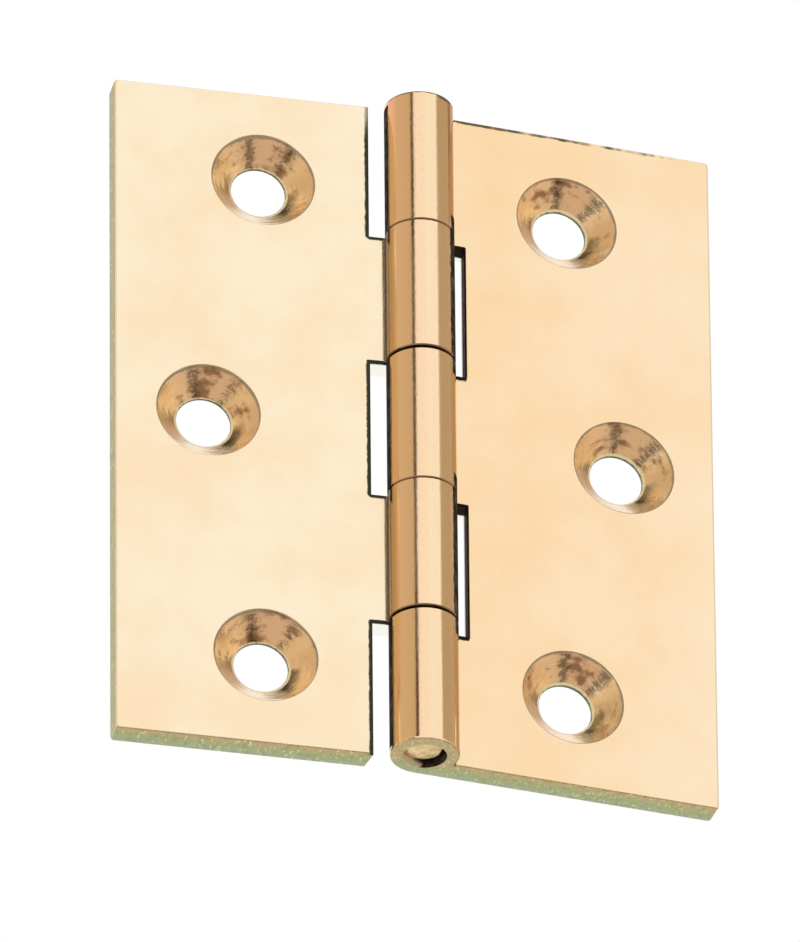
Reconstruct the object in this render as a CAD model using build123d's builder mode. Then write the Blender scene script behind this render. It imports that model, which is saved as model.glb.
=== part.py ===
from build123d import *
import os
from math import cos, radians, sin, tan

# Flat milled butt hinge, in millimetres, upright as it is screwed to a door frame.
# The origin is on the back of the fixed leaf, midway between its two outer screw holes.
# +Z runs up the pin, +Y out of the backs of the leaves, and +X out along the fixed leaf.

# Leaves, each cut from one drawn bar
leaf_height = 60.0
leaf_width = 24.5  # pin axis to outer edge
leaf_thickness = 2.2
corner_radius = 0.3
edge_break = 0.2

# Knuckles, in one piece with their leaf and flush with its back
knuckle_diameter = 5.5
knuckle_count = 5
rim_break = 0.08
axial_play = 0.3
slot_clearance = 1.15  # turning knuckle to the end wall of its slot, at the front
slot_relief = 0.4  # how much further back the wall leans by the back face

# Pin, tight in the fixed leaf and free in the swing leaf
pin_diameter = 3.5
running_clearance = 0.05  # on the radius
pin_recess = 0.45
pin_end_radius = 0.6

# Screw holes, two in line and a third further out between them
outer_screw_reach = 12.5  # pin axis to the two in line
outer_screw_spacing = 44.0
middle_screw_reach = 17.0
screw_hole_diameter = 4.4
countersink_angle = 90.0
screw_hole_land = 0.2  # straight wall left behind the cone

# How the hinge stands: the swing leaf a little past flat, and pushed up along the pin
angle_past_flat = 6.2
rest_gap = 0.05  # left above each pushed-up knuckle

knuckle_radius = knuckle_diameter / 2
knuckle_pitch = leaf_height / knuckle_count
front_depth = knuckle_radius - leaf_thickness
slot_reach = knuckle_radius + slot_clearance
pin_radius = pin_diameter / 2
screw_hole_radius = screw_hole_diameter / 2
countersink_depth = leaf_thickness - screw_hole_land
countersink_radius = screw_hole_radius + countersink_depth * tan(radians(countersink_angle / 2))

# Middles of the knuckles from the bottom up; the fixed leaf has the first, third and fifth
knuckle_heights = [(i - (knuckle_count - 1) / 2) * knuckle_pitch for i in range(knuckle_count)]
fixed_knuckles = knuckle_heights[0::2]
swing_knuckles = knuckle_heights[1::2]

# Each leaf's own plane has the pin as z, the leaf's width as x and its back towards y
turn = radians(angle_past_flat)
fixed_plane = Plane(origin=(-outer_screw_reach, -knuckle_radius, 0))
swing_plane = Plane(
    origin=(-outer_screw_reach, -knuckle_radius, axial_play / 2 - rest_gap),
    x_dir=(-cos(turn), sin(turn), 0),
    z_dir=(0, 0, -1),
)
front_plane = Plane.XZ.offset(-front_depth)


def milled_leaf(plane, slot_heights, slot_length, bore_radius):
    """One leaf, whose knuckles are what the slots for the other leaf's knuckles leave."""
    with BuildPart(plane) as leaf:
        # Drawn section: a round bead with the plate tangent to its back
        with BuildSketch(plane):
            Circle(knuckle_radius)
            with Locations((0, knuckle_radius)):
                Rectangle(leaf_width, leaf_thickness, align=(Align.MIN, Align.MAX))
        extrude(amount=leaf_height / 2, both=True)

        # Milled slots, deeper at the back than at the front
        with BuildSketch(*[plane.offset(height) for height in slot_heights]):
            with BuildLine():
                Polyline(
                    (-knuckle_diameter, -knuckle_diameter),
                    (slot_reach, -knuckle_diameter),
                    (slot_reach, front_depth),
                    (slot_reach + slot_relief, knuckle_radius),
                    (slot_reach + slot_relief, knuckle_diameter),
                    (-knuckle_diameter, knuckle_diameter),
                    close=True,
                )
            make_face()
        extrude(amount=slot_length / 2, both=True, mode=Mode.SUBTRACT)

        # Corners of the plate
        thickness_axis = Axis((0, 0, 0), plane.y_dir)
        corners = leaf.edges().filter_by(thickness_axis).group_by(Axis.Z)
        fillet(corners[0] + corners[-1], corner_radius)

        # Broken edges, all but the lines where the bead runs into the plate
        def reach(edge):
            return plane.to_local_coords(edge.center()).X

        outlines = leaf.faces().filter_by(thickness_axis).edges()
        fillet(outlines.filter_by(lambda edge: reach(edge) > knuckle_radius), edge_break)
        chamfer(leaf.edges().filter_by(GeomType.CIRCLE).group_by(SortBy.RADIUS)[-1], rim_break)

        # Pin bore
        Hole(bore_radius)

        # Screw holes, countersunk from the front
        with Locations(front_plane):
            with Locations(
                (outer_screw_reach, outer_screw_spacing / 2),
                (outer_screw_reach, -outer_screw_spacing / 2),
                (middle_screw_reach, 0),
            ):
                CounterSinkHole(
                    screw_hole_radius,
                    countersink_radius,
                    counter_sink_angle=countersink_angle,
                )
    return leaf


os.makedirs("parts", exist_ok=True)

fixed_leaf = milled_leaf(fixed_plane, swing_knuckles, knuckle_pitch, pin_radius)
fixed_leaf.part.label = "fixed_leaf"
export_step(fixed_leaf.part, "parts/fixed_leaf.step")

swing_leaf = milled_leaf(
    swing_plane,
    fixed_knuckles,
    knuckle_pitch + axial_play,
    pin_radius + running_clearance,
)
swing_leaf.part.label = "swing_leaf"
export_step(swing_leaf.part, "parts/swing_leaf.step")

# Plain drawn pin with rounded ends, driven in until it is just below both end faces
with BuildPart(fixed_plane) as hinge_pin:
    Cylinder(pin_radius, leaf_height - 2 * pin_recess)
    fillet(hinge_pin.edges().filter_by(GeomType.CIRCLE), pin_end_radius)
hinge_pin.part.label = "hinge_pin"
export_step(hinge_pin.part, "parts/hinge_pin.step")
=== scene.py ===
from math import asin, copysign, cos, degrees, pi, radians, sin
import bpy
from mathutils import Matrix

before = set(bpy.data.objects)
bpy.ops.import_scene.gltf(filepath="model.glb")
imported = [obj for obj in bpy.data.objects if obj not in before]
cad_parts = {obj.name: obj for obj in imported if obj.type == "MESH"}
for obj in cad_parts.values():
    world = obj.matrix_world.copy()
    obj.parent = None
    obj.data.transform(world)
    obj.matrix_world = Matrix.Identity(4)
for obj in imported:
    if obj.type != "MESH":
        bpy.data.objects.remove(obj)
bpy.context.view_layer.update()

from types import SimpleNamespace

import bpy
from mathutils import Matrix, Vector

# Sizes of the hinge, in metres
PIN_AXIS = Vector((-0.0125, -0.00275, 0))
KNUCKLE_RADIUS = 0.00275
LEAF_THICKNESS = 0.0022
FRONT_FACE = KNUCKLE_RADIUS - LEAF_THICKNESS  # back from the pin axis
LEAF_HALF_HEIGHT = 0.030
KNUCKLE_PITCH = 0.012
SLOT_REACH = 0.0039
SCREW_HOLES = ((0.0125, 0.022), (0.0125, -0.022), (0.017, 0.0))
COUNTERSINK_RADIUS = 0.0042
ANGLE_PAST_FLAT = radians(6.2)

# Each leaf's own directions: out along the leaf, to its back, and along the pin
FIXED_AXES = (Vector((1, 0, 0)), Vector((0, 1, 0)), Vector((0, 0, 1)))
SWING_AXES = (
    Vector((-cos(ANGLE_PAST_FLAT), sin(ANGLE_PAST_FLAT), 0)),
    Vector((sin(ANGLE_PAST_FLAT), cos(ANGLE_PAST_FLAT), 0)),
    Vector((0, 0, -1)),
)


# Helpers for nodes

class Value:
    """What a node puts out. Arithmetic and comparisons on it add maths nodes to its tree."""

    def __init__(self, socket):
        self.socket = socket

    @property
    def tree(self):
        return self.socket.id_data

    def __add__(self, other):
        return calc("ADD", self, other)

    def __sub__(self, other):
        return calc("SUBTRACT", self, other)

    def __rsub__(self, other):
        return calc("SUBTRACT", other, self)

    def __mul__(self, other):
        return calc("MULTIPLY", self, other)

    def __truediv__(self, other):
        return calc("DIVIDE", self, other)

    def __mod__(self, other):
        return calc("FLOORED_MODULO", self, other)

    def __abs__(self):
        return calc("ABSOLUTE", self)

    def __lt__(self, other):
        return calc("LESS_THAN", self, other)

    def __gt__(self, other):
        return calc("GREATER_THAN", self, other)


def fill(socket, value):
    """Sets an input, or links it where the value comes from another node."""
    if isinstance(value, Value):
        value.tree.links.new(value.socket, socket)
    else:
        socket.default_value = value


def put(tree, kind, *values, **settings):
    """Adds a node, sets its properties, and fills its inputs in order."""
    node = tree.nodes.new(kind)
    for name, value in settings.items():
        setattr(node, name, value)
    for socket, value in zip(node.inputs, values):
        fill(socket, value)
    return node


def calc(operation, *values):
    """A maths node of numbers and values. A comparison gives 1 where it holds and 0 elsewhere."""
    tree = next(value.tree for value in values if isinstance(value, Value))
    return Value(put(tree, "ShaderNodeMath", *values, operation=operation).outputs[0])


def largest(first, *others):
    for other in others:
        first = calc("MAXIMUM", first, other)
    return first


def smallest(first, *others):
    for other in others:
        first = calc("MINIMUM", first, other)
    return first


def ramp(value, low, high, to_low=0.0, to_high=1.0):
    """Eases from one number to another as the value goes from low to high."""
    node = put(value.tree, "ShaderNodeMapRange", value, low, high, to_low, to_high,
               interpolation_type="SMOOTHSTEP")
    return Value(node.outputs[0])


def fade(value, low, high, strength=1.0):
    """Eases from the strength to nothing as the value goes from low to high."""
    return ramp(value, low, high, strength, 0.0)


def blend(factor, first, second):
    """Goes from one number to another with the factor."""
    node = factor.tree.nodes.new("ShaderNodeMix")
    fill(node.inputs[0], factor)
    fill(node.inputs[2], first)
    fill(node.inputs[3], second)
    return Value(node.outputs[0])


def mix(factor, first, second):
    """Goes from one colour to another with the factor."""
    node = factor.tree.nodes.new("ShaderNodeMix")
    node.data_type = "RGBA"
    fill(node.inputs[0], factor)
    fill(node.inputs[6], first)
    fill(node.inputs[7], second)
    return Value(node.outputs[2])


def vector_calc(operation, vector, other):
    node = put(vector.tree, "ShaderNodeVectorMath", vector, other, operation=operation)
    return Value(node.outputs["Vector"])


def along(vector, axis):
    node = put(vector.tree, "ShaderNodeVectorMath", vector, axis, operation="DOT_PRODUCT")
    return Value(node.outputs["Value"])


def joined(x, y, z=0.0):
    return Value(put(x.tree, "ShaderNodeCombineXYZ", x, y, z).outputs[0])


def length(x, y):
    node = put(x.tree, "ShaderNodeVectorMath", joined(x, y), operation="LENGTH")
    return Value(node.outputs["Value"])


def noise(vector, scale=1.0, detail=2.0, roughness=0.5, stretch=None):
    """Noise from 0 to 1. A stretch scales each direction on its own first."""
    if stretch:
        vector = vector_calc("MULTIPLY", vector, stretch)
    node = vector.tree.nodes.new("ShaderNodeTexNoise")
    fill(node.inputs["Vector"], vector)
    node.inputs["Scale"].default_value = scale
    node.inputs["Detail"].default_value = detail
    node.inputs["Roughness"].default_value = roughness
    return Value(node.outputs[0])


def empty_tree(owner):
    """The node tree of a new material or world, with nothing in it."""
    owner.use_nodes = True
    owner.node_tree.nodes.clear()
    return owner.node_tree


def show(tree, shader, kind="ShaderNodeOutputMaterial"):
    """Makes a shader the tree's result."""
    tree.links.new(shader.outputs[0], tree.nodes.new(kind).inputs[0])


def show_metal(tree, colour, metallic, roughness, relief, specular=0.5):
    """Makes metal the tree's result, with its fine relief in metres."""
    bump = tree.nodes.new("ShaderNodeBump")
    bump.inputs["Strength"].default_value = 1.0
    bump.inputs["Distance"].default_value = 1.0
    fill(bump.inputs["Height"], relief)
    shader = tree.nodes.new("ShaderNodeBsdfPrincipled")
    shader.inputs["Specular IOR Level"].default_value = specular
    fill(shader.inputs["Metallic"], metallic)
    fill(shader.inputs["Base Color"], colour)
    fill(shader.inputs["Roughness"], roughness)
    fill(shader.inputs["Normal"], Value(bump.outputs[0]))
    show(tree, shader)


# Colours of brass, clean and dirty, and of painted shade, highlights, glints and reflections on
# it
TURNED = (0.98, 0.77, 0.505, 1)
TURNED_DARK = (0.30, 0.17, 0.09, 1)
# Painted dark reflection beside each screw hole
HOLE_DARK_REFLECTION = (0.10, 0.08, 0.05, 1)
MILLED_FRONT = (0.56, 0.43, 0.21, 1)
MILLED_MIDDLE = (0.425, 0.455, 0.225, 1)
MILLED_BACK = (0.42, 0.475, 0.315, 1)
MILLED_DARK = (0.25, 0.31, 0.15, 1)
# Painted glints on the chatter of the milled faces
MILLED_GLINT = (0.78, 0.78, 0.46, 1)
BROKEN_EDGE = (0.90, 0.78, 0.53, 1)
# Painted highlight on the lip of each screw hole
LIP_HIGHLIGHT = (0.92, 0.79, 0.47, 1)
LAND_DARK = (0.16, 0.17, 0.11, 1)
# Painted reflection of the white backdrop on the slots' walls
SLOT_WALL_REFLECTION = (0.99, 0.96, 0.87, 1)
# Painted shade: on and round the slots, in the gaps between knuckles, on the bead's far side, in
# the bore and round the pin's ends
PAINTED_SHADE = (0.022, 0.015, 0.008, 1)
PAINTED_SHADE_PALE = (0.10, 0.082, 0.046, 1)
PAINTED_SHADE_RIM = (0.052, 0.058, 0.032, 1)
KNUCKLE_RIM = (0.36, 0.19, 0.085, 1)
DARK_BROWN = (0.18, 0.125, 0.06, 1)
DULL_BORE = (0.95, 0.80, 0.52, 1)
PIN_FACE = (0.82, 0.62, 0.32, 1)
PIN_FACE_DARK = (0.64, 0.46, 0.23, 1)

# How far the marks reach, in metres
SLACK = 0.00002  # what a mesh may stand proud of its round surface
RAGGED = 0.00008  # how far the edge of a mark wanders to either side
PATCH_WIDTH = 0.0003  # how far the darkening spreads where it is thickest
PATCH_DEPTH = 0.0012  # how far the tones of the milled faces wander over their depth
DARK_REFLECTION_SPREAD = 0.0010
BLUR = 0.0001
TOOL_MARK_PITCH = 0.00022

# Zones, from the pin axis
BEAD_SKIN = 0.00015
BORE_ZONE = 0.00188
WALL_ZONE = SLOT_REACH + 0.0006  # the walls of the slots lean out by less than this
BROKEN_EDGE_FROM = 0.006
BESIDE_BEAD_FROM = 0.00265
BESIDE_BEAD = (0.00272, 0.00282)
LEAF_FADE = (0.004, 0.026)
PIN_RING = (0.00115, 0.0014)
PIN_WOBBLE = 0.0003

# Zones, from the middle of a screw hole
HOLE_ZONE = 0.005
DARK_REFLECTION_REACH = (0.0021, 0.0029)
LIP_REACH = (0.00232, 0.00242)
COUNTERSINK_RIM = (COUNTERSINK_RADIUS - 0.00004, COUNTERSINK_RADIUS + 0.00008)

# Zones by height
END_MARGIN = 0.0004
BEAD_CORNER_HEIGHT = 0.028
LOWER_FADE = (-0.0295, -0.0265)
TOP_EDGE = (0.02992, 0.02999)
TOP_SHOULDER_DROP = 0.00022
TOP_LEAF_DROP = 0.00014

# Zones by depth: behind the front face, but for the two corners, which count from the pin axis
FACE_SKIN = 0.0003
BESIDE_BEAD_SKIN = 0.00025
FRONT_TO_MIDDLE = (0.0002, 0.0012)
MIDDLE_TO_BACK = (0.0012, 0.0021)
DEEP_SIDE = (0.0014, 0.0018)
LAND_DEPTH = (0.00193, 0.00203)
DEEP_CORNER = (-0.0006, -0.00005)
PALE_CORNER = (-0.0016, -0.0010)

# Heights of the fine relief
RING_RELIEF = 0.00003
TOOL_MARK_RELIEF = 0.0000003
PATCH_RELIEF = 0.00006
MILLED_RELIEF = 0.00004
STREAK_RELIEF = 0.0000012
SPECK_RELIEF = 0.000005
PIN_RELIEF = 0.00003

# Slopes: how much of the surface's normal points one way, from 0 for none of it to 1 for all,
# and below 0 where it points the other way
END_SLOPE = (0.5, 0.75)
WALL_SLOPE = (0.8, 0.95)
EDGE_SLOPE = (0.15, 0.35)
EDGE_SLOPE_OUT = 0.1
STEEP_SLOPE = (0.75, 0.95)
TOP_SLOPE = (0.8, 0.95)
SHOULDER_SLOPE = (0.64, 0.80)
FLAT_SLOPE = 0.9
UPRIGHT_SLOPE = 0.5
OWN_SIDE_SLOPE = 0.5
FAR_SIDE_SLOPE = -0.6
CORNER_SLOPE = (-0.74, -0.66)

# What turns a length in metres into a slope, a part of a rim or a weight
SLOPE_PER_METRE = 600.0
RIM_PER_METRE = 3000.0
SIDE_PER_METRE = 500.0
TOP_FADE_PER_METRE = 28.0

# Ranges over which a mark appears, for its noise and what is added to that
CLOUD_RANGE = (0.34, 0.68)
SPECK_RANGE = (0.58, 0.72)
STAIN_RANGE = (0.82, 1.04)
DARK_REFLECTION_RANGE = (0.98, 1.10)
MOTTLE_RANGE = (0.46, 0.68)
CHATTER_RANGE = (0.57, 0.70)
PAINTED_SHADE_RANGE = (0.40, 0.70)
STREAK_RANGE = (0.3, 0.7)
SLOT_RIM_RANGE = (0.75, 1.15)
BORE_RANGE = (0.40, 0.62)
TOP_RANGE = (0.20, 0.75)
PIN_TONE_RANGE = (0.35, 0.7)
PIN_SHADE_RANGE = (0.2, 0.7)
PIN_ROUGH_RANGE = (0.3, 0.7)

# Strength of the marks, from 0 to 1
STAIN_STRENGTH = 0.85
DARK_REFLECTION_STRENGTH = 0.75
RIM_STRENGTH = 0.7
DEEP_CORNER_STRENGTH = 0.6
PALE_CORNER_STRENGTH = 0.3
MOTTLE_STRENGTH = 0.5
CHATTER_STRENGTH = 0.8
SPECK_STRENGTH = 0.14
PAINTED_SHADE_PALE_STRENGTH = 0.9
LOWER_RIM_STRENGTH = 0.3
DEEP_SIDE_STRENGTH = 0.25

# Way from a screw hole to its painted dark reflection: right and down
DARK_REFLECTION_RIGHT = 0.88
DARK_REFLECTION_DOWN = 0.47

# How much one mark takes from another
RING_SHARE = 0.45
RISE_SHARE = 0.12
STAIN_SHARE = 0.2
LIP_RAGGED_SHARE = 0.6
TOP_NOISE_SHARE = 1.8

# Roughness, and how dull what isn't polished is
POLISHED_ROUGHNESS = (0.10, 0.17)
TURNED_ROUGHNESS = 0.22
LIP_ROUGHNESS = 0.40
MILLED_ROUGHNESS = 0.42
SLOT_END_ROUGHNESS = 0.15
SLOT_END_SHARE = 0.6
DULL_ROUGHNESS = 0.6
PIN_ROUGHNESS = (0.22, 0.4)
BORE_DULLNESS = 0.8
EDGE_DULLNESS = 0.8
LIP_DULLNESS = 0.95
LEAF_SPECULAR = 0.03


# Leaves. Each mark is found from where the surface lies in the leaf's own directions, and a
# number from 0 to 1 says how strong it is there.

def leaf_surface(tree, axes):
    """Where the surface is, which way it faces, and the noise that several marks share."""
    coordinates = tree.nodes.new("ShaderNodeTexCoord")
    from_axis = vector_calc("SUBTRACT", Value(coordinates.outputs["Object"]), PIN_AXIS)
    normal = Value(coordinates.outputs["Normal"])
    leaf = SimpleNamespace()
    leaf.out, leaf.back, leaf.up = (along(from_axis, axis) for axis in axes)
    leaf.n_out, leaf.n_back, n_up = (along(normal, axis) for axis in axes)
    leaf.place = joined(leaf.out, leaf.back, leaf.up)
    leaf.height = abs(leaf.up)
    leaf.slope_out = abs(leaf.n_out)
    leaf.slope_up = abs(n_up)
    leaf.from_pin = length(leaf.out, leaf.back)
    leaf.ragged = noise(leaf.place, scale=2600) * (2 * RAGGED) - RAGGED
    leaf.speck = noise(leaf.place, scale=7000, roughness=0.6)
    leaf.patchy = noise(leaf.place, scale=800, detail=3, roughness=0.6)
    leaf.depth = leaf.back - FRONT_FACE + leaf.ragged
    leaf.inside = leaf.height < LEAF_HALF_HEIGHT - END_MARGIN
    leaf.beyond_bead = leaf.out > KNUCKLE_RADIUS
    return leaf


def find_holes(leaf, axes):
    """Countersinks, and how far up and to the right of its own middle the surface of one lies."""
    from_hole = 1.0
    rise = 0.0
    aside = 0.0
    for reach, hole_height in SCREW_HOLES:
        across = leaf.out - reach
        above = leaf.up - hole_height
        from_this = length(across, above)
        near_this = from_this < HOLE_ZONE
        from_hole = smallest(from_this, from_hole)
        rise = near_this * (above / from_this) + rise
        aside = near_this * (across / from_this) + aside
    leaf.from_hole = from_hole
    leaf.rise = rise * axes[2].z
    leaf.aside = aside * copysign(1.0, axes[0].x)
    leaf.in_hole = (from_hole < COUNTERSINK_RADIUS + SLACK) * (abs(leaf.n_back) < FLAT_SLOPE)
    leaf.lip = fade(from_hole + leaf.ragged * LIP_RAGGED_SHARE, *LIP_REACH)


def find_cuts(leaf):
    """Milled ends and sides of the leaf, the walls of its slots, and its broken side edges."""
    end_face = ramp(leaf.slope_up, *END_SLOPE)
    leaf.side_wall = ramp(leaf.slope_out, *WALL_SLOPE) * leaf.beyond_bead
    leaf.milled = largest(end_face, leaf.side_wall) * (1.0 - leaf.in_hole)
    leaf.slot_wall = leaf.milled * leaf.inside * (leaf.out < WALL_ZONE)

    edge = largest(ramp(leaf.slope_out, *EDGE_SLOPE), ramp(leaf.slope_up, *EDGE_SLOPE))
    edge = edge * leaf.beyond_bead * (1.0 - leaf.milled) * (1.0 - leaf.in_hole)
    leaf.edge = edge * (leaf.out > BROKEN_EDGE_FROM) * (leaf.slope_out > EDGE_SLOPE_OUT)


def find_slot_tarnish(leaf, axes, finish):
    """Painted shade round the rims of the slots, on the face of the leaf, on their walls, and on
    the bead's end faces in the gaps between knuckles.
    """
    repeat = 2 * KNUCKLE_PITCH
    past_middle = (leaf.up + (KNUCKLE_PITCH - finish["slot_middle"])) % repeat - KNUCKLE_PITCH
    leaf.beyond_end = largest(abs(past_middle) - finish["slot_half"], 0.0)
    below = past_middle * axes[2].z < 0.0
    past_end = leaf.beyond_end / blend(below, finish["rim_above"], finish["rim_below"])
    past_wall = largest(leaf.out - SLOT_REACH, 0.0) / finish["rim_beside"]
    from_slot = leaf.ragged * RIM_PER_METRE + length(past_end, past_wall)
    on_face = ramp(leaf.out, KNUCKLE_RADIUS, KNUCKLE_RADIUS + BLUR) * (leaf.depth < FACE_SKIN)
    # Painted shade on the face round the rims of the slots, weaker near the bottom
    dark_rim = fade(from_slot, *SLOT_RIM_RANGE) * on_face * (leaf.height < finish["slot_end"])
    leaf.dark_rim = dark_rim * ramp(leaf.up, *LOWER_FADE, to_low=LOWER_RIM_STRENGTH)

    # Painted shade on the bead's end faces in the gaps between knuckles
    in_bead = (leaf.out < KNUCKLE_RADIUS) * (leaf.depth < finish["end_dark"])
    deep_side = ramp(leaf.depth, *DEEP_SIDE, to_low=1.0, to_high=DEEP_SIDE_STRENGTH)
    deep_side = leaf.side_wall * deep_side
    shallow = fade(leaf.depth, finish["dark_depth"], finish["dark_depth"] + 2 * BLUR)
    knuckle_rim = leaf.slot_wall * (leaf.out < KNUCKLE_RADIUS)
    leaf.knuckle_rim = knuckle_rim * fade(leaf.slope_up, *STEEP_SLOPE)
    # Painted shade on the slots' walls, darkest near the front
    dark_wall = leaf.slot_wall * largest(shallow, deep_side, in_bead)
    leaf.dark_wall = dark_wall * (1.0 - leaf.knuckle_rim)


def find_bead_tarnish(leaf, finish):
    """The bead, and painted shade on the side of it that faces into the other leaf's slots, and
    on its near side beside the slot ends.
    """
    in_skin = leaf.from_pin > KNUCKLE_RADIUS - BEAD_SKIN
    leaf.bead = (leaf.from_pin < KNUCKLE_RADIUS + SLACK) * in_skin
    bead_inside = leaf.bead * leaf.inside
    behind = leaf.ragged * SLOPE_PER_METRE + leaf.n_back
    # Painted shade on the bead's far side, and on its near side beside the slot ends
    far_side = bead_inside * (leaf.n_out < FAR_SIDE_SLOPE) * ramp(behind, *finish["bead_dark"])

    beside_end = bead_inside * (leaf.beyond_end + leaf.ragged < finish["corner_dark"])
    beside_end = beside_end * (leaf.n_out > OWN_SIDE_SLOPE) * (leaf.height < BEAD_CORNER_HEIGHT)
    leaf.dark_side = largest(far_side, beside_end * ramp(behind, *CORNER_SLOPE))


def find_bore_tarnish(leaf):
    """The bore, and painted shade on the side of it that is towards the leaf."""
    leaf.bore = (leaf.from_pin < BORE_ZONE) * (leaf.slope_up < UPRIGHT_SLOPE)
    leaf_side = leaf.out * SIDE_PER_METRE + noise(leaf.place, scale=1800)
    # Painted shade on the bore's side towards the leaf
    leaf.dark_bore = leaf.bore * ramp(leaf_side, *BORE_RANGE)


def find_grime(leaf, finish):
    """Darker where bead and plate meet, round the countersinks and along the top edge by the
    bead.
    """
    own_side = leaf.bead * (leaf.n_out > OWN_SIDE_SLOPE)
    ragged_back = leaf.back + leaf.ragged
    deep_corner = own_side * ramp(ragged_back, *DEEP_CORNER)
    pale_corner = own_side * ramp(ragged_back, *PALE_CORNER)
    beside_bead = fade(leaf.out + leaf.ragged, *BESIDE_BEAD) * (leaf.out > BESIDE_BEAD_FROM)
    beside_bead = beside_bead * (abs(leaf.depth) < BESIDE_BEAD_SKIN)

    rim = ramp(leaf.from_hole + leaf.patchy * PATCH_WIDTH, *COUNTERSINK_RIM)

    shoulder = ramp(leaf.n_out, *EDGE_SLOPE) * fade(leaf.n_out, *SHOULDER_SLOPE)
    top_edge = leaf.up + leaf.patchy * PATCH_WIDTH
    top_edge = top_edge + leaf.bead * TOP_SHOULDER_DROP * shoulder
    top_edge = top_edge + leaf.beyond_bead * TOP_LEAF_DROP
    broken = noise(joined(leaf.out, 0.0), scale=700) * TOP_NOISE_SHARE
    broken = broken - leaf.out * TOP_FADE_PER_METRE
    top = ramp(top_edge, *TOP_EDGE) * ramp(broken, *TOP_RANGE)
    top = top * fade(leaf.slope_up, *TOP_SLOPE, strength=finish["top_grime"])

    leaf.crust = largest(deep_corner, beside_bead, leaf.in_hole * rim * RIM_STRENGTH, top)
    corner = deep_corner * DEEP_CORNER_STRENGTH + pale_corner * PALE_CORNER_STRENGTH
    leaf.grime = largest(leaf.crust, corner)


def turned_colour(leaf):
    """Countersinks: stained rings with painted dark reflection towards the top, a painted dark
    reflection beside the hole, a painted highlight on the lip and a dark land.
    """
    place = vector_calc("ADD", leaf.place, (3.1, 1.7, 0.4))
    stain = noise(place, scale=620, detail=3, roughness=0.6) + leaf.rings * RING_SHARE
    # Painted dark reflection: the stain grows towards the top
    stain = stain + leaf.rise * RISE_SHARE
    colour = mix(ramp(stain, *STAIN_RANGE) * STAIN_STRENGTH, TURNED, TURNED_DARK)
    # Painted dark reflection beside the hole, to its right and below
    low_side = leaf.aside * DARK_REFLECTION_RIGHT - leaf.rise * DARK_REFLECTION_DOWN + stain * STAIN_SHARE
    painted_dark_reach = leaf.from_hole - leaf.patchy * DARK_REFLECTION_SPREAD
    painted_dark = ramp(low_side, *DARK_REFLECTION_RANGE) * fade(painted_dark_reach, *DARK_REFLECTION_REACH)
    colour = mix(painted_dark * DARK_REFLECTION_STRENGTH, colour, HOLE_DARK_REFLECTION)
    # Painted highlight on the lip
    colour = mix(leaf.lip, colour, LIP_HIGHLIGHT)
    return mix(ramp(leaf.depth, *LAND_DEPTH), colour, LAND_DARK)


def milled_colour(leaf):
    """Milled faces: warm at the front, greener to the back, mottled, flecked by chatter with
    painted glints, and near-white on the slots' walls as a painted reflection of the white
    backdrop.
    """
    patched_depth = leaf.patchy * PATCH_DEPTH + (leaf.depth - PATCH_DEPTH / 2)
    colour = mix(ramp(patched_depth, *FRONT_TO_MIDDLE), MILLED_FRONT, MILLED_MIDDLE)
    colour = mix(ramp(patched_depth, *MIDDLE_TO_BACK), colour, MILLED_BACK)
    mottle = noise(leaf.place, scale=1900, detail=3, roughness=0.6)
    colour = mix(ramp(mottle, *MOTTLE_RANGE, to_high=MOTTLE_STRENGTH), colour, MILLED_DARK)
    # Painted glints on the chatter
    chatter = noise(leaf.place, roughness=0.6, stretch=(4800, 1700, 4800))
    colour = mix(ramp(chatter, *CHATTER_RANGE, to_high=CHATTER_STRENGTH), colour, MILLED_GLINT)
    # Painted reflection of the white backdrop on the slots' walls
    return mix(leaf.slot_wall, colour, SLOT_WALL_REFLECTION)


def polished_colour(leaf, finish):
    """Drawn faces: soft clouds of two tones, paler away from the pin, and specks on the bead."""
    reach_out = ramp(leaf.out, *LEAF_FADE)
    polished = mix(reach_out, finish["polished"], finish["polished_far"])
    peach = mix(reach_out, finish["peach"], finish["peach_far"])
    cloud = noise(leaf.place, scale=95, detail=4, roughness=0.6)
    colour = mix(ramp(cloud, *CLOUD_RANGE), polished, peach)
    colour = mix(leaf.edge, colour, BROKEN_EDGE)
    colour = mix(leaf.bead, colour, finish["bead"])
    specks = leaf.bead * ramp(leaf.speck, *SPECK_RANGE, to_high=SPECK_STRENGTH)
    return mix(specks, colour, DARK_BROWN)


def leaf_colour(leaf, finish):
    """The leaf's clean colours, then darker places and painted shade over them."""
    colour = mix(leaf.milled, polished_colour(leaf, finish), milled_colour(leaf))
    colour = mix(leaf.in_hole, colour, turned_colour(leaf))
    colour = mix(leaf.bore, colour, DULL_BORE)
    colour = mix(leaf.knuckle_rim, colour, KNUCKLE_RIM)
    colour = mix(leaf.grime, colour, DARK_BROWN)
    pale = ramp(leaf.patchy, *PAINTED_SHADE_RANGE, to_high=PAINTED_SHADE_PALE_STRENGTH)
    # Painted shade, near-black and paler in patches
    colour = mix(leaf.tarnish, colour, mix(pale, PAINTED_SHADE, PAINTED_SHADE_PALE))
    # Painted shade round the rims of the slots
    return mix(leaf.dark_rim, colour, finish["rim"])


def leaf_roughness(leaf):
    """Smooth where drawn, with fine streaks, and rougher where cut or turned, under the painted
    shade, at the darker places and on broken edges.
    """
    polished = ramp(leaf.streaks, *STREAK_RANGE, *POLISHED_ROUGHNESS)
    turned = blend(leaf.lip, TURNED_ROUGHNESS, LIP_ROUGHNESS)
    roughness = blend(leaf.in_hole, blend(leaf.milled, polished, MILLED_ROUGHNESS), turned)
    roughness = blend(leaf.slot_wall * SLOT_END_SHARE, roughness, SLOT_END_ROUGHNESS)
    return blend(largest(leaf.tarnish, leaf.crust, leaf.edge), roughness, DULL_ROUGHNESS)


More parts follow.
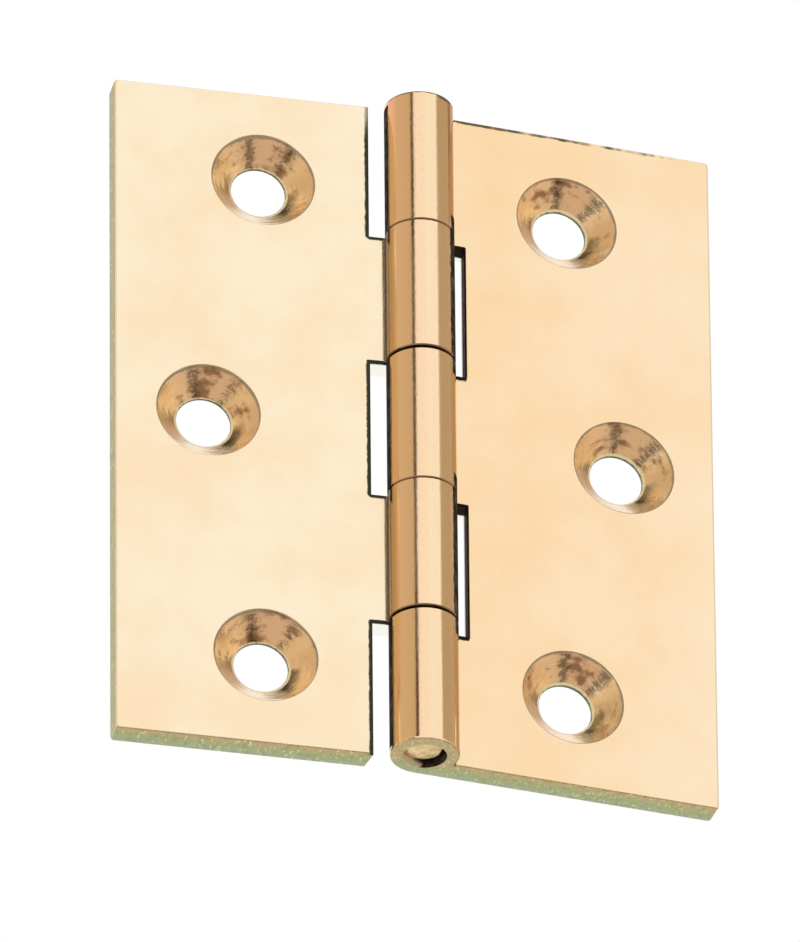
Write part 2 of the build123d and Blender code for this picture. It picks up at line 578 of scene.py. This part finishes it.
def leaf_metallic(leaf):
    """Less metallic where the brass is dull, under the painted shade and at the darker places, so
    that it doesn't mirror white at a flat angle.
    """
    dull_lip = leaf.lip * leaf.in_hole * LIP_DULLNESS
    dull = largest(leaf.bore * BORE_DULLNESS, leaf.edge * EDGE_DULLNESS, dull_lip)
    return 1.0 - largest(leaf.tarnish, leaf.crust, dull)


def leaf_relief(leaf):
    """Drawing marks, the grain of the milled faces and rings turned in the countersinks."""
    tool_marks = calc("SINE", leaf.from_hole * (2 * pi / TOOL_MARK_PITCH))
    turned = tool_marks * TOOL_MARK_RELIEF + leaf.rings * RING_RELIEF
    turned = turned + leaf.patchy * PATCH_RELIEF
    milled = noise(leaf.place, scale=5200, roughness=0.6) * MILLED_RELIEF
    drawn = leaf.streaks * STREAK_RELIEF + leaf.speck * SPECK_RELIEF
    return blend(leaf.in_hole, blend(leaf.milled, drawn, milled), turned)


def leaf_brass(name, axes, finish):
    """Polished drawn brass with milled ends, tarnished slots and turned countersinks."""
    material = bpy.data.materials.new(name)
    tree = empty_tree(material)
    leaf = leaf_surface(tree, axes)
    find_holes(leaf, axes)
    find_cuts(leaf)
    find_slot_tarnish(leaf, axes, finish)
    find_bead_tarnish(leaf, finish)
    find_bore_tarnish(leaf)
    # All the painted shade: on the slots' walls and rims, in the gaps between knuckles, on the
    # bead's far side and in the bore
    leaf.tarnish = largest(leaf.dark_wall, leaf.dark_rim, leaf.dark_side, leaf.dark_bore)
    find_grime(leaf, finish)
    round_hole = joined(leaf.from_hole, leaf.out, leaf.up)
    leaf.rings = noise(round_hole, detail=1.5, stretch=(2600, 420, 420))
    leaf.streaks = noise(leaf.place, roughness=0.55, stretch=(7000, 7000, 160))
    show_metal(
        tree,
        colour=leaf_colour(leaf, finish),
        metallic=leaf_metallic(leaf),
        roughness=leaf_roughness(leaf),
        relief=leaf_relief(leaf),
        specular=LEAF_SPECULAR,
    )
    return material


def pin_brass():
    """Plain drawn wire, with painted shade in the ring round its ends, on one side."""
    material = bpy.data.materials.new("pin_brass")
    tree = empty_tree(material)
    coordinates = tree.nodes.new("ShaderNodeTexCoord")
    place = vector_calc("SUBTRACT", Value(coordinates.outputs["Object"]), PIN_AXIS)
    split = put(tree, "ShaderNodeSeparateXYZ", place)
    x, y = Value(split.outputs[0]), Value(split.outputs[1])
    patches = noise(place, scale=1500, detail=3, roughness=0.6)
    face = mix(ramp(patches, *PIN_TONE_RANGE), PIN_FACE, PIN_FACE_DARK)
    wobble = noise(place, scale=2200) * (2 * PIN_WOBBLE) - PIN_WOBBLE
    ring = ramp(length(x, y) + wobble, *PIN_RING)
    # Painted shade in the ring round the pin's ends, darker on one side
    painted_dark = ring * ramp(x * SIDE_PER_METRE + patches, *PIN_SHADE_RANGE)
    show_metal(
        tree,
        colour=mix(painted_dark, face, PAINTED_SHADE),
        metallic=1.0,
        roughness=ramp(patches, *PIN_ROUGH_RANGE, *PIN_ROUGHNESS),
        relief=noise(place, scale=3500, detail=3) * PIN_RELIEF,
    )
    return material


def dress(node, material):
    """Gives a CAD node its material."""
    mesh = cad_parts[node].data
    mesh.materials.clear()
    mesh.materials.append(material)


# How the leaves differ
# slot_middle, slot_half: height of the middle of one slot, and half its length
# slot_end: height above which the slots have no rim of painted shade
# rim_beside, rim_above, rim_below: width of that rim on each side of a slot
# dark_depth: how far back the slots' walls get painted shade, from the front face
# bead_dark: slopes between which the painted shade on the bead's far side begins
# end_dark: depth at which it ends on the bead's own end faces
# corner_dark: how far the bead's near side gets painted shade past the end of a slot
# top_grime: 1 with a darker top edge, and 0 without
# polished and peach, near the pin and far: the tones of the clouds on the faces
FIXED_FINISH = {
    "slot_middle": KNUCKLE_PITCH,
    "slot_half": 0.006,
    "slot_end": 0.029,
    "rim_beside": 0.00012,
    "rim_above": 0.00012,
    "rim_below": 0.00044,
    "dark_depth": 0.0014,
    "bead_dark": (-0.20, -0.14),
    "end_dark": 0.01,
    "corner_dark": 0.0014,
    "top_grime": 1.0,
    "rim": PAINTED_SHADE,
    "bead": (0.975, 0.75, 0.485, 1),
    "polished": (0.975, 0.765, 0.485, 1),
    "peach": (0.97, 0.70, 0.40, 1),
    "polished_far": (0.98, 0.815, 0.565, 1),
    "peach_far": (0.975, 0.755, 0.47, 1),
}
SWING_FINISH = {
    "slot_middle": -0.0001,
    "slot_half": 0.00615,
    "slot_end": 0.031,
    "rim_beside": 0.00039,
    "rim_above": 0.00012,
    "rim_below": 0.00036,
    "dark_depth": 0.0003,
    "bead_dark": (-0.70, -0.64),
    "end_dark": 0.0,
    "corner_dark": 0.0,
    "top_grime": 0.0,
    "rim": PAINTED_SHADE_RIM,
    "bead": (0.98, 0.76, 0.50, 1),
    "polished": (0.985, 0.865, 0.64, 1),
    "peach": (0.98, 0.79, 0.53, 1),
    "polished_far": (0.985, 0.865, 0.64, 1),
    "peach_far": (0.98, 0.79, 0.53, 1),
}
dress("fixed_leaf", leaf_brass("fixed_leaf_brass", FIXED_AXES, FIXED_FINISH))
dress("swing_leaf", leaf_brass("swing_leaf_brass", SWING_AXES, SWING_FINISH))
dress("hinge_pin", pin_brass())


# Studio: white all round, and coloured cards for the polished bead to mirror

WHITE = (1, 1, 1, 1)
FLOOR_WHITE = (0.9, 0.9, 0.9, 1)
FLOOR_SIZE = 8
FLOOR_HEIGHT = -2.6
ROOM_LIGHT = 0.85  # what dull surfaces get
CARD_DISTANCE = 0.8
CARD_COLUMNS = 24
CARD_ROWS = 12

CAMERA_AZIMUTH = -18.63
CAMERA_ELEVATION = -31.89


def seen_white(tree):
    """1 for camera, glossy and transmission rays."""
    path = tree.nodes.new("ShaderNodeLightPath")
    kinds = ("Is Camera Ray", "Is Glossy Ray", "Is Transmission Ray")
    return largest(*(Value(path.outputs[kind]) for kind in kinds))


def white_world():
    world = bpy.data.worlds.new("white_studio")
    bpy.context.scene.world = world
    tree = empty_tree(world)
    strength = blend(seen_white(tree), ROOM_LIGHT, 1.0)
    show(tree, put(tree, "ShaderNodeBackground", WHITE, strength), "ShaderNodeOutputWorld")


def floor():
    bpy.ops.mesh.primitive_plane_add(size=FLOOR_SIZE, location=(0, 0, FLOOR_HEIGHT))
    plane = bpy.context.object
    plane.name = "floor"
    material = bpy.data.materials.new("floor_white")
    tree = empty_tree(material)
    diffuse = Value(put(tree, "ShaderNodeBsdfDiffuse", FLOOR_WHITE).outputs[0])
    glow = Value(put(tree, "ShaderNodeEmission", WHITE, 1.0).outputs[0])
    show(tree, put(tree, "ShaderNodeMixShader", seen_white(tree), diffuse, glow))
    plane.data.materials.append(material)


def bearing(azimuth, elevation):
    """Unit vector from the hinge. Azimuth 0 is straight out from its face, 90 to the right."""
    azimuth, elevation = radians(azimuth), radians(elevation)
    level = cos(elevation)
    return Vector((sin(azimuth) * level, -cos(azimuth) * level, sin(elevation)))


def span(left, right):
    """Azimuths that the upright bead mirrors between two places across its width, -1 to 1."""
    return tuple(CAMERA_AZIMUTH + 2 * degrees(asin(x)) for x in (left, right))


def card_mesh(name, azimuths, elevations, distance):
    """A patch of a sphere round the hinge, with U and V from 0 to 1 across it."""
    points = []
    for row in range(CARD_ROWS + 1):
        elevation = elevations[0] + (elevations[1] - elevations[0]) * row / CARD_ROWS
        for column in range(CARD_COLUMNS + 1):
            azimuth = azimuths[0] + (azimuths[1] - azimuths[0]) * column / CARD_COLUMNS
            points.append(bearing(azimuth, elevation) * distance)
    row_length = CARD_COLUMNS + 1
    faces = []
    for row in range(CARD_ROWS):
        for column in range(CARD_COLUMNS):
            corner = row * row_length + column
            above = corner + row_length
            faces.append((corner, corner + 1, above + 1, above))
    mesh = bpy.data.meshes.new(name)
    mesh.from_pydata(points, [], faces)
    layer = mesh.uv_layers.new(name="UVMap")
    for loop in mesh.loops:
        row, column = divmod(loop.vertex_index, row_length)
        layer.data[loop.index].uv = (column / CARD_COLUMNS, row / CARD_ROWS)
    return mesh


def card_material(name, colours, feather):
    """A glow in bands from left to right, which fades out towards the card's edges."""
    material = bpy.data.materials.new(name)
    tree = empty_tree(material)
    coordinates = tree.nodes.new("ShaderNodeTexCoord")
    split = put(tree, "ShaderNodeSeparateXYZ", Value(coordinates.outputs["UV"]))
    u, v = Value(split.outputs[0]), Value(split.outputs[1])
    bands = put(tree, "ShaderNodeValToRGB", u)
    stops = bands.color_ramp.elements
    while len(stops) < len(colours):
        stops.new(0.5)
    for stop, (position, colour) in zip(stops, colours):
        stop.position = position
        stop.color = (*colour, 1)
    clear = Value(tree.nodes.new("ShaderNodeBsdfTransparent").outputs[0])
    glow = Value(put(tree, "ShaderNodeEmission", Value(bands.outputs[0]), 1.0).outputs[0])
    from_edge = smallest(u, 1.0 - u, v, 1.0 - v)
    solid = ramp(from_edge, 0.0, feather) if feather else 1.0
    show(tree, put(tree, "ShaderNodeMixShader", solid, clear, glow))
    return material


def shades(left, right=None):
    """Colours that go evenly from a card's left edge to its right edge."""
    return [(0, left), (1, right or left)]


def card(name, azimuths, elevations, colours, feather, distance=CARD_DISTANCE):
    """A curved card round the hinge that only its polished surfaces see."""
    mesh = card_mesh(name, azimuths, elevations, distance)
    mesh.materials.append(card_material(name, colours, feather))
    item = bpy.data.objects.new(name, mesh)
    bpy.context.scene.collection.objects.link(item)
    item.visible_camera = False
    item.visible_diffuse = False
    item.visible_shadow = False


white_world()
floor()

# What the bead mirrors for a camera below it, from left to right
UPPER = (8, 62)
card("card_left_orange", span(-0.885, -0.68), UPPER,
     shades((1.0, 0.58, 0.47), (0.80, 0.52, 0.40)), feather=0.0)
card("card_left_tan", span(-0.68, -0.24), UPPER,
     shades((0.68, 0.50, 0.34), (0.61, 0.46, 0.31)), feather=0.0)
card("card_line", span(-0.245, -0.13), UPPER,
     shades((0.06, 0.035, 0.02), (0.10, 0.06, 0.04)), feather=0.03)
card("card_right_brown", span(0.50, 0.83), UPPER,
     shades((0.49, 0.385, 0.27), (0.50, 0.38, 0.26)), feather=0.03)
card("card_right_red", span(0.83, 0.92), UPPER,
     shades((0.30, 0.18, 0.11), (0.36, 0.2, 0.14)), feather=0.03)
card("card_right_edge", span(0.92, 0.985), UPPER,
     shades((0.62, 0.46, 0.34), (0.55, 0.40, 0.29)), feather=0.03)

# What the faces of the leaves and the countersinks mirror, from in front, below and above
card("card_front_warm", (-38, 32), UPPER,
     [(0, (1, 0.91, 0.91)), (0.5, (1, 0.93, 0.91)), (0.64, (1, 1, 1)), (0.8, (1, 0.97, 0.97)),
      (1, (1, 0.95, 0.95))], feather=0.04)
card("card_under_front", (-66, 56), (-86, -24),
     shades((0.64, 0.48, 0.37), (0.62, 0.46, 0.36)), feather=0.03, distance=0.84)
card("card_under_line", (33, 50), (-70, -30),
     shades((0.0, 0.0, 0.0)), feather=0.08, distance=0.76)
card("card_under_left", (-61, -45), (-38, -14),
     shades((0.02, 0.015, 0.01)), feather=0.12, distance=0.76)
card("card_under_right", (48, 118), (-62, 9),
     shades((0.66, 0.53, 0.41), (0.90, 0.60, 0.42)), feather=0.03)
card("card_far_left", (-112, -52), (-40, 9),
     shades((0.73, 0.56, 0.385)), feather=0.03)
card("card_over_left", (148, 265), (59, 82),
     [(0, (0.42, 0.34, 0.25)), (0.33, (0.36, 0.29, 0.21)), (0.42, (0.08, 0.08, 0.05)),
      (1, (0.08, 0.08, 0.05))], feather=0.10)


# Camera, at the photograph's angle from below and left

CAMERA_ROLL = -0.00938  # radians
CAMERA_DISTANCE = 1.842
SENSOR_WIDTH = 36.0  # millimetres, as the focal length
FOCAL_LENGTH = 895.2
PIXELS_PER_METRE = 12716.0  # at the pin
PIN_RIGHT_OF_MIDDLE = 21.6  # pixels
PIN_ABOVE_MIDDLE = 41.2
CLIP_START = 0.1
CLIP_END = 50.0


def camera():
    azimuth = radians(CAMERA_AZIMUTH)
    right = Vector((cos(azimuth), sin(azimuth), 0))
    ahead = -bearing(CAMERA_AZIMUTH, CAMERA_ELEVATION)
    top = right.cross(ahead)
    rolled_right = cos(CAMERA_ROLL) * right + sin(CAMERA_ROLL) * top
    rolled_top = cos(CAMERA_ROLL) * top - sin(CAMERA_ROLL) * right
    middle = PIN_AXIS - rolled_right * (PIN_RIGHT_OF_MIDDLE / PIXELS_PER_METRE)
    middle = middle - rolled_top * (PIN_ABOVE_MIDDLE / PIXELS_PER_METRE)
    data = bpy.data.cameras.new("camera")
    data.sensor_width = SENSOR_WIDTH
    data.lens = FOCAL_LENGTH
    data.clip_start = CLIP_START
    data.clip_end = CLIP_END
    item = bpy.data.objects.new("camera", data)
    bpy.context.scene.collection.objects.link(item)
    turn = Matrix((rolled_right, rolled_top, -ahead)).transposed()
    item.matrix_world = Matrix.Translation(middle - ahead * CAMERA_DISTANCE) @ turn.to_4x4()
    bpy.context.scene.camera = item


camera()
bpy.context.scene.view_settings.view_transform = "Standard"
